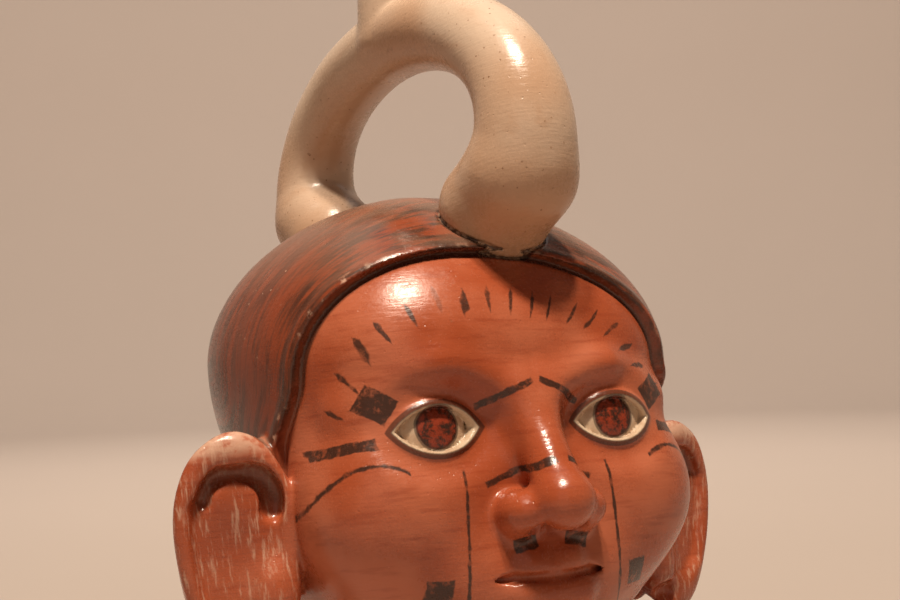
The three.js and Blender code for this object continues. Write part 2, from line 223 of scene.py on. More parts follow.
def cap_side(x, y, z):
    """Distance from the cap's edge, positive on the cap."""
    rise = ramp(ARCH_END["low"], ARCH_END["high"], z)
    turn = np.arctan2(x, CRANIUM["y"] - y) + ARCH["turn"] * rise
    half = ARCH_END["half_angle"] + (ARCH["half_angle"] - ARCH_END["half_angle"]) * rise
    across = np.abs(turn) / half
    up = np.maximum(z + ARCH_DROP * x - ARCH["z"], 0) / ARCH["height"]
    p = ARCH["power"]
    k = (across ** p + up ** p) ** (1 / p)
    share = across ** 2 / (across ** 2 + up ** 2 + 1e-6)
    size = half * CRANIUM["half_width"] * share + ARCH["height"] * (1 - share)
    return blend((k - 1) * size, z - NAPE_Z, 10)


def neck(x, y, z):
    flare = NECK["foot"] * (1 - ramp(0, NECK["foot_height"], z))
    across = x / (NECK["half_width"] + flare)
    along = (y - NECK["y"]) / (NECK["half_depth"] + flare)
    return np.maximum((np.hypot(across, along) - 1) * NECK["half_width"], z - NECK["top"])


def skull(x, y, z):
    """Cranium and jaw, without the features, the cap's thickness and the ears."""
    across, along, up = face_frame(x, y, z)
    taper = JAW["taper"] + (1 - JAW["taper"]) * ramp(0, JAW["taper_top"], up)
    at = JAW["at"]
    jaw = egg(across / taper, along - FACE_Y - at[1], up - at[2], JAW["radii"], JAW["power"]) * taper
    return blend(cranium(x, y, z), jaw, FACE_BLEND)


def almond(ax, z):
    """Distance from the outline of the eye's opening, negative inside it."""
    drop = EYE_ARC - EYE_HALF[1]
    upper = np.hypot(ax - EYE_X, z - EYE_Z + drop) - EYE_ARC
    lower = np.hypot(ax - EYE_X, z - EYE_Z - drop) - EYE_ARC
    return np.maximum(upper, lower)


def eyes(d, ax, behind, up):
    d = carved(d, ax, behind, up, SOCKET)
    ball = np.sqrt((ax - EYE_X) ** 2 + (behind - EYE_BALL_DEPTH) ** 2 + (up - EYE_Z) ** 2) - EYE_BALL
    edge = almond(ax, up)
    d = blend(d, np.maximum(ball - EYE_LID, -edge), 5)
    roll = np.hypot(edge, ball - 1.3) - LID_ROLL
    d = blend(d, roll, 1.4)
    return np.minimum(d, ball)


def bare_head(x, y, z):
    """Skull, face and neck, without the cap's thickness and the ears."""
    across, along, up = face_frame(x, y, z)
    q = (np.abs(across), along - FACE_Y, up)
    d = joined(skull(x, y, z), *q, CHEEK, CHIN, BROW)
    d = eyes(d, *q)
    d = carved(joined(d, *q, BRIDGE, NOSE_TIP, NOSE_WING), *q, NOSTRIL)
    d = carved(joined(d, *q, MUZZLE), *q, PHILTRUM)
    d = carved(joined(d, *q, UPPER_LIP, LOWER_LIP), *q, LIP_PARTING)
    return blend(d, neck(x, y, z), NECK_BLEND)


def capped_head(x, y, z):
    side = cap_side(x, y, z)
    roll = 0.5 * np.exp(-((side - 2.4) / 1.8) ** 2)
    groove = 0.5 * np.exp(-((side + 1.4) / 0.9) ** 2)
    return bare_head(x, y, z) - CAP_RELIEF * ramp(-0.6, 0.7, side) - roll + groove


def ear_frame(x, y, z):
    """Across from the front edge to the rear edge, up, and out of the ear's face; both ears at once."""
    dx, dy, dz = np.abs(x) - EAR["x"], y - EAR["y"], z - EAR["z"] + EAR["drop"] * (x > 0)
    out = dx * math.cos(EAR_TURN) + dy * math.sin(EAR_TURN)
    front = dx * math.sin(EAR_TURN) - dy * math.cos(EAR_TURN)
    u = out * math.cos(EAR_LEAN) - dz * math.sin(EAR_LEAN)
    v = dz * math.cos(EAR_LEAN) + out * math.sin(EAR_LEAN)
    return u, v, front


def ears(x, y, z):
    u, v, w = ear_frame(x, y, z)
    width, height = EAR["half_width"], EAR_TOP
    d = egg(u, w + 1.5, v, (width, 5.6, height), EAR_POWER)

    # Rolled rim, thinner towards the top
    width = width * (0.86 + 0.18 * ramp(-height, height * 0.6, v))
    outline = (np.abs(u / width) ** EAR_POWER + np.abs(v / height) ** EAR_POWER) ** (1 / EAR_POWER)
    wide, narrow = EAR_RIM["radius"]
    rim_radius = wide + (narrow - wide) * ramp(-10, 24, v)
    rim = np.hypot((outline - EAR_RIM["share"]) * width, w - EAR_RIM["out"]) - rim_radius
    d = blend(d, rim, EAR_RIM["reach"])

    # Shallow dish, and the deep crescent under the rim, which is widest at its front end
    d = carved(d, u, w, v, EAR_DISH)
    du, dw, dv = u - EAR_HOLLOW["at"][0], w - EAR_HOLLOW["at"][1], v - EAR_HOLLOW["at"][2]
    bend = np.arctan2(dv, du)
    bend = np.clip(np.where(bend < -math.pi / 2, bend + 2 * math.pi, bend), *EAR_HOLLOW["angles"])
    arc = np.sqrt((du - EAR_HOLLOW["radius"] * np.cos(bend)) ** 2
                  + (dv - EAR_HOLLOW["radius"] * np.sin(bend)) ** 2 + dw ** 2)
    thin, thick = EAR_HOLLOW["tube"]
    tube = thin + (thick - thin) * ramp(EAR_HOLLOW["angles"][0], 1.9, bend)
    d = carve(d, arc - tube, EAR_HOLLOW["reach"])

    d = carved(d, u, w, v, EAR_GROOVE)
    d = joined(d, u, w, v, EAR_LOBE)
    d = carved(d, u, w, v, EAR_NOTCH)
    return joined(d, u, w, v, EAR_RIDGE, EAR_ROOT)


# ---- stirrup and spout --------------------------------------------------------------------------------

def stirrup_radius(rise):
    return STIRRUP["radius"] + STIRRUP["flare"] * np.maximum(1 - rise, 0) ** 2


def stirrup(x, y, z, thinner=0.0):
    """Tube along half an ellipse, with each leg running on down to its foot on the crown."""
    a, b, turn = STIRRUP["half_span"], STIRRUP["rise"], STIRRUP["turn"]
    dz = z - STIRRUP["z"]
    t = np.clip(np.arctan2(dz / b, -y / a), -math.pi, math.pi)
    t = np.where(t < -math.pi / 2, t + 2 * math.pi, t)
    t = np.clip(t, -turn, math.pi + turn)
    for _ in range(5):
        c, s = np.cos(t), np.sin(t)
        ey, ez = y + a * c, dz - b * s
        slope = ey * a * s + ez * b * c
        bend = -(a * s) ** 2 - (b * c) ** 2 + ey * a * c - ez * b * s
        t = np.clip(t - slope / np.minimum(bend, -100), -turn, math.pi + turn)
    c, s = np.cos(t), np.sin(t)
    arch = np.sqrt(x * x + (y + a * c) ** 2 + (dz - b * s) ** 2) - stirrup_radius(s)
    end = (0, a * math.cos(turn), STIRRUP["z"] - b * math.sin(turn))
    foot = (0, STIRRUP_FOOT["y"], STIRRUP_FOOT["z"])
    legs = rod(x, np.abs(y), z, end, foot, float(stirrup_radius(-math.sin(turn))), STIRRUP_FOOT["radius"])
    return blend(arch, legs, 3) + thinner


def spout(x, y, z):
    reach = np.hypot(x, y - SPOUT["y"])
    flare = SPOUT["root"] * np.exp(-np.maximum(z - SPOUT["foot"], 0) / 12)
    lip = SPOUT["lip"] * ramp(SPOUT["top"] - 9, SPOUT["top"] - 3, z)
    side = reach - SPOUT["radius"] - flare - lip
    above = z - SPOUT["top"]
    edge = SPOUT["edge"]
    over = np.hypot(np.maximum(side + edge, 0), np.maximum(above + edge, 0)) - edge
    d = np.maximum(over, np.maximum(side, above))
    return carve(d, z - SPOUT["foot"], 6)


def handle(x, y, z):
    return blend(stirrup(x, y, z), spout(x, y, z), 1.2)


def hollow(x, y, z):
    """The empty inside: chamber, the bore of the stirrup and the bore of the spout."""
    inside_neck = np.maximum(neck(x, y, z) + WALL, WALL + 1 - z)
    chamber = blend(skull(x, y, z) + WALL, inside_neck, FACE_BLEND)
    foot = (0, STIRRUP_FOOT["y"], STIRRUP_FOOT["z"])
    throats = rod(x, np.abs(y), z, foot, (0, THROAT["y"], THROAT["z"]),
                  STIRRUP_FOOT["radius"] - STIRRUP_WALL, THROAT["radius"])
    spout_bore = np.hypot(x, y - SPOUT["y"]) - SPOUT["bore"] + 0.3
    spout_bore = np.maximum(spout_bore, np.maximum(SPOUT["foot"] + 2 - z, z - SPOUT["top"] + 13))
    tubes = np.minimum(stirrup(x, y, z, STIRRUP_WALL), throats)
    return np.minimum(blend(chamber, tubes, 4), spout_bore)


def unevenness(x, y, z):
    """The slight waver of a hand-smoothed surface."""
    slow = np.sin(x / 19 + 1.3) * np.sin(y / 23 + 0.4) * np.sin(z / 21 + 2.2)
    quick = np.sin(x / 7.3 + z / 11.9) * np.sin(y / 8.1 - z / 9.7 + 1.1)
    return 0.35 * slow + 0.08 * quick


def outside(x, y, z):
    head = blend(capped_head(x, y, z), ears(x, y, z), EAR_BLEND)
    tube = handle(x, y, z)
    d = blend(head, tube, 0.8)
    d = carve(d, np.hypot(head, tube) - SEAM, 0.8)
    mouth_bore = np.maximum(np.hypot(x, y - SPOUT["y"]) - SPOUT["bore"], SPOUT["top"] - 17 - z)
    d = carve(d + unevenness(x, y, z), mouth_bore, 2.2)
    return np.maximum(d, -z)


# ---- meshing --------------------------------------------------------------------------------------------

def grid_mesh(field, per):
    """Samples a field closely only where its surface passes, and returns points and quads."""
    cell = COARSE_CELL / per
    counts = np.ceil((HIGH - LOW) / COARSE_CELL).astype(int)
    axes = [LOW[i] + COARSE_CELL * (np.arange(counts[i]) + 0.5) for i in range(3)]
    centre = np.meshgrid(*axes, indexing="ij")
    rough = field(*[c.astype(np.float32) for c in centre])
    near = np.argwhere(np.abs(rough) < COARSE_CELL * 1.35)
    values = np.repeat(np.repeat(np.repeat(np.sign(rough) * COARSE_CELL, per, 0), per, 1), per, 2)
    values = np.ascontiguousarray(values, dtype=np.float32)
    offset = (np.arange(per) + 0.5) * cell
    inner = np.stack(np.meshgrid(offset, offset, offset, indexing="ij"), -1).reshape(-1, 3)
    step = np.stack(np.meshgrid(*[np.arange(per)] * 3, indexing="ij"), -1).reshape(-1, 3)
    for start in range(0, len(near), 6000):
        block = near[start:start + 6000]
        points = (LOW + block[:, None, :] * COARSE_CELL + inner).reshape(-1, 3).astype(np.float32)
        where = (block[:, None, :] * per + step).reshape(-1, 3)
        values[where[:, 0], where[:, 1], where[:, 2]] = field(points[:, 0], points[:, 1], points[:, 2])
    grid = openvdb.FloatGrid(background=COARSE_CELL)
    grid.copyFromArray(values)
    points, quads = grid.convertToQuads()
    return LOW + (points + 0.5) * cell, quads


def gradient(field, points, reach=0.3):
    rows = []
    for axis in range(3):
        shift = np.zeros(3)
        shift[axis] = reach
        ahead, behind = points + shift, points - shift
        rows.append((field(*ahead.T) - field(*behind.T)) / (2 * reach))
    return np.stack(rows, -1)


def settle(field, points, rounds=2):
    """Draws points onto the surface that a grid only comes near."""
    for _ in range(rounds):
        slope = gradient(field, points)
        pull = field(*points.T)[:, None] * slope / np.maximum((slope ** 2).sum(1, keepdims=True), 0.2)
        points = points - np.clip(pull, -0.6, 0.6)
    return points


def mesh_object(name, points, quads):
    mesh = bpy.data.meshes.new(name)
    mesh.from_pydata((points * MM).tolist(), [], quads.tolist())
    mesh.validate()
    piece = bpy.data.objects.new(name, mesh)
    bpy.context.scene.collection.objects.link(piece)
    return piece


def bake_modifiers(piece):
    graph = bpy.context.evaluated_depsgraph_get()
    mesh = bpy.data.meshes.new_from_object(piece.evaluated_get(graph))
    piece.modifiers.clear()
    piece.data = mesh


def mesh_points(mesh):
    flat = np.empty(len(mesh.vertices) * 3, dtype=np.float32)
    mesh.vertices.foreach_get("co", flat)
    return flat.reshape(-1, 3) / MM


def clay(x, y, z):
    return np.maximum(outside(x, y, z), -hollow(x, y, z))


def skin(name, field, per, triangles):
    """The surface of a field as a mesh of about the given number of triangles."""
    points, quads = grid_mesh(field, per)
    piece = mesh_object(name, points, quads)
    thin = piece.modifiers.new("thin", "DECIMATE")
    thin.ratio = triangles / (2 * len(quads))
    bake_modifiers(piece)
    settled = settle(field, mesh_points(piece.data))
    piece.data.vertices.foreach_set("co", (settled * MM).astype(np.float32).ravel())
    return piece


def build_vessel():
    piece = skin("fired_vessel", outside, FINE_SPLIT, OUTER_TRIANGLES)
    inside = skin("inside", hollow, HOLLOW_SPLIT, HOLLOW_TRIANGLES)
    cut = piece.modifiers.new("cut", "BOOLEAN")
    cut.object = inside
    cut.operation = "DIFFERENCE"
    cut.solver = "MANIFOLD"
    bake_modifiers(piece)
    bpy.data.objects.remove(inside)
    return piece


def store(mesh, name, kind, values):
    layer = mesh.attributes.new(name, kind, "POINT")
    field = "vector" if kind == "FLOAT_VECTOR" else "value"
    layer.data.foreach_set(field, np.ascontiguousarray(values, dtype=np.float32).ravel())


def measure(piece):
    """Smooth normals, and the distances that the slips and the paint follow."""
    mesh = piece.data
    points = mesh_points(mesh)
    x, y, z = points.T
    mesh.shade_smooth()
    slope = gradient(clay, points, 0.25)
    slope /= np.maximum(np.linalg.norm(slope, axis=1, keepdims=True), 1e-6)
    mesh.normals_split_custom_set_from_vertices(slope.tolist())
    head = capped_head(x, y, z)
    tube = handle(x, y, z)
    store(mesh, "tube", "FLOAT", np.where(tube < head, head, -tube))
    store(mesh, "cap", "FLOAT", cap_side(x, y, z))
    store(mesh, "ear", "FLOAT", np.where(z < 130, head, 0))
    store(mesh, "inner", "FLOAT", -outside(x, y, z))
    store(mesh, "under", "FLOAT", -slope[:, 2])
    store(mesh, "face", "FLOAT_VECTOR", np.stack(face_frame(x, y, z), -1))
    u, v, w = ear_frame(x, y, z)
    store(mesh, "shell", "FLOAT_VECTOR", np.stack((u, v, w), -1))


# ---- slips, paint, wear, painted shade and sheen ------------------------------------------------------
# Object coordinates are in metres; the stored distances and the face's and ears' frames in millimetres.

class Recipe:
    """Short forms for the nodes of one material. Plain numbers go on the nodes' own sockets."""

    def __init__(self, name):
        self.material = bpy.data.materials.new(name)
        self.material.use_nodes = True
        self.tree = self.material.node_tree
        self.shader = self.tree.nodes["Principled BSDF"]

    def set(self, node, key, value):
        if isinstance(value, bpy.types.NodeSocket):
            self.tree.links.new(value, node.inputs[key])
        elif value is not None:
            node.inputs[key].default_value = value

    def math(self, operation, a, b=None, c=None):
        node = self.tree.nodes.new("ShaderNodeMath")
        node.operation = operation
        for i, value in enumerate((a, b, c)):
            self.set(node, i, value)
        return node.outputs[0]

    def attribute(self, name):
        node = self.tree.nodes.new("ShaderNodeAttribute")
        node.attribute_name = name
        return node

    def split(self, vector):
        node = self.tree.nodes.new("ShaderNodeSeparateXYZ")
        self.set(node, 0, vector)
        return node.outputs

    def join(self, x, y, z):
        node = self.tree.nodes.new("ShaderNodeCombineXYZ")
        for i, value in enumerate((x, y, z)):
            self.set(node, i, value)
        return node.outputs[0]

    def noise(self, vector, scale, detail=3.0, roughness=0.55, distortion=0.0):
        node = self.tree.nodes.new("ShaderNodeTexNoise")
        self.set(node, "Vector", vector)
        node.inputs["Scale"].default_value = scale
        node.inputs["Detail"].default_value = detail
        node.inputs["Roughness"].default_value = roughness
        node.inputs["Distortion"].default_value = distortion
        return node.outputs["Fac"]

    def spots(self, vector, scale):
        node = self.tree.nodes.new("ShaderNodeTexVoronoi")
        self.set(node, "Vector", vector)
        node.inputs["Scale"].default_value = scale
        return node.outputs["Distance"]

    def span(self, value, low, high, start=0.0, end=1.0):
        """Smoothly maps low..high onto start..end; low may be above high."""
        node = self.tree.nodes.new("ShaderNodeMapRange")
        node.interpolation_type = "SMOOTHSTEP"
        for i, item in enumerate((value, low, high, start, end)):
            self.set(node, i, item)
        return node.outputs[0]

    def mix(self, amount, a, b):
        node = self.tree.nodes.new("ShaderNodeMix")
        node.data_type = "RGBA"
        self.set(node, 0, amount)
        self.set(node, 6, (*a, 1) if isinstance(a, tuple) else a)
        self.set(node, 7, (*b, 1) if isinstance(b, tuple) else b)
        return node.outputs[2]

    def times(self, a, b):
        return self.math("MULTIPLY", a, b)

    def plus(self, a, b):
        return self.math("ADD", a, b)

    def larger(self, a, b):
        return self.math("MAXIMUM", a, b)

    def smaller(self, a, b):
        return self.math("MINIMUM", a, b)

    def length(self, a, b):
        return self.math("SQRT", self.plus(self.times(a, a), self.times(b, b)))

    def bar(self, u, v, centre, half, turn=0.0):
        """Distance from a rectangle, negative inside, turned by an angle in degrees."""
        du, dv = self.plus(u, -centre[0]), self.plus(v, -centre[1])
        c, s = math.cos(math.radians(turn)), math.sin(math.radians(turn))
        along = self.plus(self.times(du, c), self.times(dv, s))
        across = self.plus(self.times(dv, c), self.times(du, -s))
        side = self.plus(self.math("ABSOLUTE", along), -half[0])
        return self.larger(side, self.plus(self.math("ABSOLUTE", across), -half[1]))

    def ring(self, u, v, centre, radii, half_width):
        """Distance from the outline of an ellipse."""
        du = self.times(self.plus(u, -centre[0]), 1 / radii[0])
        dv = self.times(self.plus(v, -centre[1]), 1 / radii[1])
        off = self.times(self.plus(self.length(du, dv), -1.0), min(radii))
        return self.plus(self.math("ABSOLUTE", off), -half_width)


CREAM = (0.63, 0.47, 0.35)
CREAM_WARM = (0.48, 0.27, 0.155)
CREAM_DARK = (0.26, 0.12, 0.055)
RED = (0.36, 0.074, 0.027)
RED_LIGHT = (0.48, 0.135, 0.065)
RED_DEEP = (0.24, 0.036, 0.012)
CAP_RED = (0.25, 0.050, 0.018)
CAP_BROWN = (0.090, 0.032, 0.018)
PAINT = (0.040, 0.018, 0.012)
# Pale grey of dust and of a painted sheen on the cap's top
DUST_AND_SHEEN = (0.36, 0.22, 0.15)
EYE_WHITE = (0.62, 0.47, 0.33)
IRIS = (0.27, 0.040, 0.016)
WORN = (0.66, 0.42, 0.30)
BARE_CLAY = (0.42, 0.19, 0.10)

# Paint, in millimetres: how far back the face is painted, and the dashes under the cap's edge
FRONT_EDGE = (-42, -50)
DASH = {"spacing": math.radians(8.5), "from_middle": 52, "below_cap": 12.5,
        "half_width": 0.7, "half_length": 4.2}


class Slips(Recipe):
    """The vessel's material, with the distances and the mottling that its slips share."""

    def __init__(self, name):
        super().__init__(name)
        self.place = self.tree.nodes.new("ShaderNodeTexCoord").outputs["Object"]
        self.face = self.split(self.attribute("face").outputs["Vector"])
        self.shell = self.split(self.attribute("shell").outputs["Vector"])
        self.cap = self.attribute("cap").outputs["Fac"]
        self.tube = self.attribute("tube").outputs["Fac"]
        self.ear = self.attribute("ear").outputs["Fac"]
        self.inner = self.attribute("inner").outputs["Fac"]
        self.under = self.attribute("under").outputs["Fac"]
        self.fine = self.noise(self.place, 900, 4, 0.6)
        self.brush = self.noise(self.place, 260, 3, 0.6)
        self.cloud = self.noise(self.place, 28, 3, 0.55)
        self.broad = self.noise(self.place, 11, 2, 0.5)
        self.waver = self.times(self.plus(self.brush, -0.5), 1.5)
        self.pits = self.span(self.spots(self.place, 330), 0.13, 0.07)
        x, y, z = self.face
        self.level = self.join(self.times(x, 0.02), self.times(y, 0.02), self.times(z, 0.14))
        self.on_front = self.times(self.span(y, *FRONT_EDGE), self.span(self.ear, 0.4, 0.2))
        self.on_ear = self.span(self.ear, 0.6, 2.5)


def face_paint(n):
    """Where dark slip is brushed on the face: 1 on a stroke, 0 elsewhere."""
    x, _, z = n.face
    ax = n.math("ABSOLUTE", x)
    loop = n.ring(ax, z, (EYE_X + 19, NOSE_BASE_Z - 6), (20, 27), 0.4)
    strokes = [
        n.larger(loop, n.plus(EYE_X + 10, n.times(ax, -1))),
        n.bar(ax, z, (24, NOSE_BASE_Z - 6), (0.45, 24), 2),
        n.bar(ax, z, (9, EYE_Z + 9), (8.5, 1.0), -22),
        n.bar(ax, z, (9.5, NOSE_BASE_Z + 16), (8, 1.0), -20),
        n.bar(ax, z, (8, MOUTH_Z + 9.5), (3.6, 2.0), -12),
        n.bar(ax, z, (9, MOUTH_Z - 12), (6.5, 2.0), 4),
        n.bar(ax, z, (32, MOUTH_Z - 2), (3.6, 3.6), 4),
        n.bar(ax, z, (EYE_X + 25, EYE_Z - 3.5), (7.5, 1.6), -6),
        n.bar(ax, z, (EYE_X + 17, EYE_Z + 8), (5.0, 4.0), 32),
    ]
    nearest = strokes[0]
    for stroke in strokes[1:]:
        nearest = n.smaller(nearest, stroke)
    return n.span(n.plus(nearest, n.waver), 0.25, -0.25)


def dashes(n):
    """Short strokes that radiate from the face and follow the cap's edge over forehead and temples."""
    x, _, z = n.face
    turn = n.math("ARCTAN2", x, n.plus(z, -(EYE_Z - 12)))
    cell = n.plus(n.times(turn, 1 / DASH["spacing"]), n.times(n.noise(n.join(turn, 0.0, 0.0), 6.0, 1), 0.9))
    cell = n.plus(cell, n.times(n.times(n.cap, n.cap), 0.0016))
    off = n.times(n.plus(n.math("FRACT", cell), -0.5), DASH["spacing"] * DASH["from_middle"])
    chance = n.noise(n.join(n.times(n.math("FLOOR", cell), 0.37), 0.0, 0.0), 5.0, 0)
    depth = n.plus(n.plus(n.cap, DASH["below_cap"]), n.times(chance, 7.0))
    taper = n.span(n.math("ABSOLUTE", depth), 4.4, 1.8)
    across = n.plus(n.math("ABSOLUTE", off), n.times(taper, -DASH["half_width"]))
    inside = n.larger(across, n.plus(n.math("ABSOLUTE", depth), -DASH["half_length"]))
    inside = n.larger(inside, n.plus(EYE_Z + 5, n.times(z, -1)))
    return n.times(n.span(n.plus(inside, n.waver), 0.3, -0.3), n.span(chance, 0.30, 0.48, 0.35, 0.95))


def red_slip(n):
    """Burnished red of the face and the ears, streaked along the strokes of the burnisher."""
    strokes = n.noise(n.level, 3.0, 3, 0.6)
    red = n.mix(n.span(n.cloud, 0.35, 0.68), RED, RED_LIGHT)
    red = n.mix(n.times(n.span(strokes, 0.5, 0.72), 0.4), red, RED_DEEP)
    return n.mix(n.times(n.span(n.fine, 0.62, 0.74), 0.25), red, RED_LIGHT)


def ear_wear(n, red):
    """Pale upright streaks, a worn upper edge and painted shade in the hollow."""
    u, v, w = n.shell
    upright = n.join(n.times(u, 0.5), n.times(w, 0.3), n.times(v, 0.075))
    streak = n.span(n.noise(upright, 1.5, 4, 0.65), 0.50, 0.70)
    red = n.mix(n.times(n.times(streak, n.on_ear), 0.6), red, WORN)
    worn_top = n.times(n.span(v, 25, 29), n.times(n.on_ear, n.span(n.brush, 0.3, 0.55)))
    red = n.mix(n.times(worn_top, 0.75), red, WORN)
    # Painted shade: darker deep in the hollow under the top of the rim
    shade_in_ear_hollow = n.times(n.times(n.span(w, 3.2, 0.6), n.span(v, 6, 12)), n.on_ear)
    return n.mix(n.times(shade_in_ear_hollow, 0.6), red, CAP_BROWN)


def cap_slip(n):
    """Dark brush strokes that follow the cap's curve over red slip, paler on top with dust and a painted
    sheen, worn at the edge.
    """
    x, y, z = n.split(n.place)
    around = n.math("ARCTAN2", x, n.plus(z, -0.095))
    sweep = n.join(n.times(around, 1.6), n.times(n.cap, 0.16), n.times(y, 6.0))
    hair = n.join(n.times(around, 4.0), n.times(n.cap, 0.62), n.times(y, 12.0))
    drawn = n.times(n.noise(sweep, 1.6, 4, 0.62, 0.5), 0.6)
    drawn = n.plus(drawn, n.times(n.noise(hair, 1.5, 3, 0.6, 0.3), 0.4))
    colour = n.mix(n.span(drawn, 0.42, 0.54), CAP_RED, CAP_BROWN)
    colour = n.mix(n.times(n.span(drawn, 0.51, 0.60), 0.85), colour, PAINT)
    colour = n.mix(n.times(n.span(n.broad, 0.45, 0.62), 0.35), colour, CAP_RED)
    # Paler and greyer where the cap faces up: dust, and a painted sheen of the light from above
    dust_and_sheen = n.times(n.span(n.under, -0.45, -0.95), n.span(n.cloud, 0.30, 0.55))
    colour = n.mix(n.times(dust_and_sheen, 0.4), colour, DUST_AND_SHEEN)
    at_edge = n.span(n.math("ABSOLUTE", n.plus(n.cap, -1.6)), 1.5, 0.4)
    edge_wear = n.times(at_edge, n.span(n.brush, 0.52, 0.66))
    colour = n.mix(n.times(n.times(edge_wear, 0.7), n.span(n.cloud, 0.45, 0.6)), colour, WORN)
    chips = n.span(n.spots(n.place, 260), 0.10, 0.05)
    return n.mix(n.times(chips, n.span(n.broad, 0.56, 0.66)), colour, WORN)


def painted_eyes(n, red):
    x, _, z = n.face
    ex = n.plus(n.math("ABSOLUTE", x), -EYE_X)
    drop = EYE_ARC - EYE_HALF[1]
    upper = n.plus(n.length(ex, n.plus(z, drop - EYE_Z)), -EYE_ARC)
    lower = n.plus(n.length(ex, n.plus(z, -drop - EYE_Z)), -EYE_ARC)
    lid_edge = n.larger(upper, lower)
    on_eye = n.times(n.span(lid_edge, -0.2, -0.6), n.on_front)
    outline = n.times(n.span(n.math("ABSOLUTE", n.plus(lid_edge, -0.1)), 1.0, 0.6), n.on_front)
    eye = n.mix(n.times(n.span(n.brush, 0.4, 0.7), 0.5), EYE_WHITE, CREAM_WARM)
    disc = n.plus(n.length(ex, n.plus(z, -EYE_Z - 0.6)), -IRIS_RADIUS)
    disc = n.plus(disc, n.times(n.waver, 0.5))
    mottle = n.mix(n.span(n.noise(n.place, 380, 4, 0.7), 0.42, 0.6), IRIS, PAINT)
    eye = n.mix(n.span(disc, 0.2, -0.2), eye, mottle)
    eye = n.mix(n.times(n.span(n.math("ABSOLUTE", disc), 0.75, 0.4), 0.7), eye, PAINT)
    return n.mix(n.times(outline, 0.75), n.mix(on_eye, red, eye), PAINT)


def painted_face(n, red):
    """Brushed strokes and eyes, and a line of painted shade under the cap's edge."""
    strokes = n.larger(face_paint(n), dashes(n))
    faded = n.span(n.noise(n.place, 420, 3, 0.6), 0.30, 0.52, 0.45, 0.95)
    red = n.mix(n.times(n.times(strokes, n.on_front), faded), red, PAINT)
    red = painted_eyes(n, red)
    # Painted shade in the groove under the cap's edge, strongest over the forehead
    line = n.times(n.span(n.math("ABSOLUTE", n.plus(n.cap, 1.3)), 1.8, 0.6), n.span(n.ear, 1.0, 0.4))
    line = n.times(line, n.span(n.face[2], 84, 106, 0.25, 1.0))
    return n.mix(n.times(line, 0.85), red, PAINT)


def cream_slip(n):
    """Cream of the stirrup and the spout: warmer streaks, painted shade on the legs' feet and the
    undersides, dark pits and specks.
    """
    x, y, z = n.split(n.place)
    dy, dz = n.plus(y, 0.02), n.plus(z, -0.06)
    swing, reach = n.math("ARCTAN2", dy, dz), n.length(dy, dz)
    along = n.join(n.times(swing, 0.6), n.times(reach, 30.0), n.times(x, 30.0))
    cream = n.mix(n.span(n.broad, 0.42, 0.62), CREAM, CREAM_WARM)
    cream = n.mix(n.times(n.span(n.noise(along, 4.0, 4, 0.6), 0.52, 0.72), 0.35), cream, CREAM_WARM)
    # Painted shade: warmer and darker low on the legs, towards their feet on the crown
    foot = n.times(n.span(z, 0.190, 0.155), n.span(n.cloud, 0.30, 0.55))
    cream = n.mix(n.times(foot, 0.75), cream, CREAM_WARM)
    # Painted shade: warmer and darker on surfaces that face down
    shade_underneath = n.times(n.span(n.under, -0.1, 0.8), n.span(n.cloud, 0.2, 0.6))
    cream = n.mix(n.times(shade_underneath, 0.8), cream, CREAM_WARM)
    cream = n.mix(n.times(n.pits, n.span(n.cloud, 0.48, 0.6)), cream, CREAM_DARK)
    specks = n.span(n.noise(n.place, 560, 2, 0.5), 0.70, 0.76)
    return n.mix(n.times(specks, 0.6), cream, CREAM_DARK)


def grain(n):
    """Bump of the brushed and burnished surface."""
    height = n.plus(n.times(n.fine, 0.25), n.times(n.brush, 0.8))
    height = n.plus(height, n.times(n.noise(n.level, 9.0, 2, 0.5), 0.5))
    height = n.plus(height, n.times(n.pits, -0.5))
    bump = n.tree.nodes.new("ShaderNodeBump")
    bump.inputs["Strength"].default_value = 0.35
    bump.inputs["Distance"].default_value = 0.0004
    n.set(bump, "Height", height)
    return bump.outputs[0]


def clay_material():
    n = Slips("fired_clay_slips")
    red = painted_face(n, ear_wear(n, red_slip(n)))
    on_cap = n.span(n.plus(n.cap, n.times(n.waver, 0.3)), -0.35, 0.35)
    on_cap = n.times(on_cap, n.span(n.ear, 1.6, 0.6))
    head = n.mix(on_cap, red, cap_slip(n))

    # The cream slip ends at a cracked seam; where the clay was never slipped, inside, it is bare
    seam = n.plus(n.tube, n.times(n.waver, 0.35))
    colour = n.mix(n.span(seam, -0.5, 0.1), head, cream_slip(n))
    crack = n.times(n.span(n.math("ABSOLUTE", n.plus(n.tube, 0.2)), 1.1, 0.4), n.span(n.brush, 0.38, 0.55))
    colour = n.mix(n.times(crack, 0.8), colour, PAINT)
    bare = n.span(n.inner, 1.2, 2.2)

    gloss = n.plus(n.span(n.cloud, 0.3, 0.7, 0.19, 0.30), n.times(n.span(n.fine, 0.45, 0.8), 0.16))
    n.set(n.shader, "Base Color", n.mix(bare, colour, BARE_CLAY))
    n.set(n.shader, "Roughness", n.plus(gloss, n.times(bare, 0.4)))
    n.set(n.shader, "Normal", grain(n))
    n.shader.inputs["IOR"].default_value = 1.48
    return n.material


# ---- stage ------------------------------------------------------------------------------------------------

CAMERA_AT = (-0.2138, -0.3702, 0.1155)
CAMERA_YAW = 31.9
CAMERA_PITCH = 2.15
CAMERA_ROLL = -2.0
CAMERA_LENS = 48.64
SWEEP = {"flat": 1.5, "radius": 0.7, "height": 1.8, "rings": 14, "sides": 96}
WALL_COLOURS = ((0.44, 0.365, 0.315), (0.46, 0.38, 0.33))
LAMP = (1.0, 0.86, 0.70)
BOUNCE = (1.0, 0.90, 0.80)


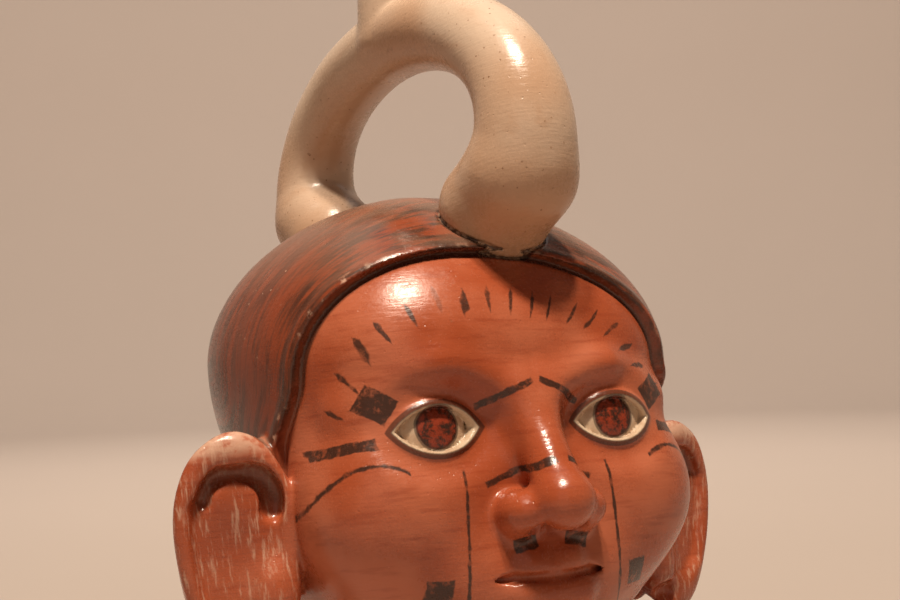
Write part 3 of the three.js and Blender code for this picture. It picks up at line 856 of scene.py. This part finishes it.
def add_camera():
    camera = bpy.data.objects.new("camera", bpy.data.cameras.new("camera"))
    camera.data.lens = CAMERA_LENS
    camera.data.sensor_width = 36.0
    camera.data.clip_start = 0.01
    turn = Matrix.Rotation(math.radians(-CAMERA_YAW), 4, "Z")
    rise = Matrix.Rotation(math.radians(90 + CAMERA_PITCH), 4, "X")
    roll = Matrix.Rotation(math.radians(CAMERA_ROLL), 4, "Z")
    camera.matrix_world = Matrix.Translation(CAMERA_AT) @ turn @ rise @ roll
    bpy.context.scene.collection.objects.link(camera)
    bpy.context.scene.camera = camera


def add_sweep():
    """Floor that rises far behind the vessel in one curve, on every side."""
    flat, radius, height = SWEEP["flat"], SWEEP["radius"], SWEEP["height"]
    rings, sides = SWEEP["rings"], SWEEP["sides"]
    profile = [(0.0, 0.0), (flat, 0.0)]
    for i in range(1, rings + 1):
        a = math.pi / 2 * i / rings
        profile.append((flat + radius * math.sin(a), radius * (1 - math.cos(a))))
    profile.append((flat + radius, height))
    points, faces = [(0.0, 0.0, 0.0)], []
    for reach, z in profile[1:]:
        for i in range(sides):
            a = 2 * math.pi * i / sides
            points.append((reach * math.cos(a), reach * math.sin(a), z))
    for i in range(sides):
        j = (i + 1) % sides
        faces.append((0, 1 + i, 1 + j))
        for ring in range(len(profile) - 2):
            low, high = 1 + ring * sides, 1 + (ring + 1) * sides
            faces.append((low + i, high + i, high + j, low + j))
    mesh = bpy.data.meshes.new("sweep")
    mesh.from_pydata(points, [], faces)
    mesh.shade_smooth()
    sweep = bpy.data.objects.new("sweep", mesh)
    bpy.context.scene.collection.objects.link(sweep)
    n = Recipe("painted_wall")
    place = n.tree.nodes.new("ShaderNodeTexCoord").outputs["Object"]
    n.set(n.shader, "Base Color", n.mix(n.noise(place, 3, 2, 0.5), *WALL_COLOURS))
    n.shader.inputs["Roughness"].default_value = 0.9
    mesh.materials.append(n.material)


def add_light(name, place, target, size, watts, colour):
    light = bpy.data.lights.new(name, "AREA")
    light.shape = "RECTANGLE"
    light.size, light.size_y = size
    light.energy = watts
    light.color = colour
    piece = bpy.data.objects.new(name, light)
    piece.location = place
    aim = Vector(target) - Vector(place)
    piece.rotation_euler = aim.to_track_quat("-Z", "Y").to_euler()
    bpy.context.scene.collection.objects.link(piece)


def add_lights():
    middle = (0.0, -0.02, 0.15)
    add_light("key_left", (-0.30, -0.34, 1.30), middle, (0.08, 0.11), 12.0, LAMP)
    add_light("key_right", (-0.15, -0.41, 1.30), middle, (0.08, 0.11), 12.0, LAMP)
    add_light("fill_front", (-0.9, -1.1, 0.6), middle, (1.0, 1.0), 0.9, BOUNCE)
    add_light("overhead", (0.25, 0.45, 1.60), middle, (1.4, 1.4), 3.0, (1.0, 0.93, 0.86))
    add_light("wall_wash", (0.25, 0.45, 1.25), (1.1, 1.85, 0.45), (1.6, 0.6), 26.0, BOUNCE)
    world = bpy.data.worlds.new("soft_room")
    world.use_nodes = True
    world.node_tree.nodes["Background"].inputs["Color"].default_value = (1.0, 0.88, 0.77, 1)
    world.node_tree.nodes["Background"].inputs["Strength"].default_value = 0.05
    bpy.context.scene.world = world
    bpy.context.scene.view_settings.view_transform = "Standard"


add_camera()
add_sweep()
add_lights()
vessel = build_vessel()
measure(vessel)
vessel.data.materials.clear()
vessel.data.materials.append(clay_material())
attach(vessel, "root")
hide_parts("vessel")
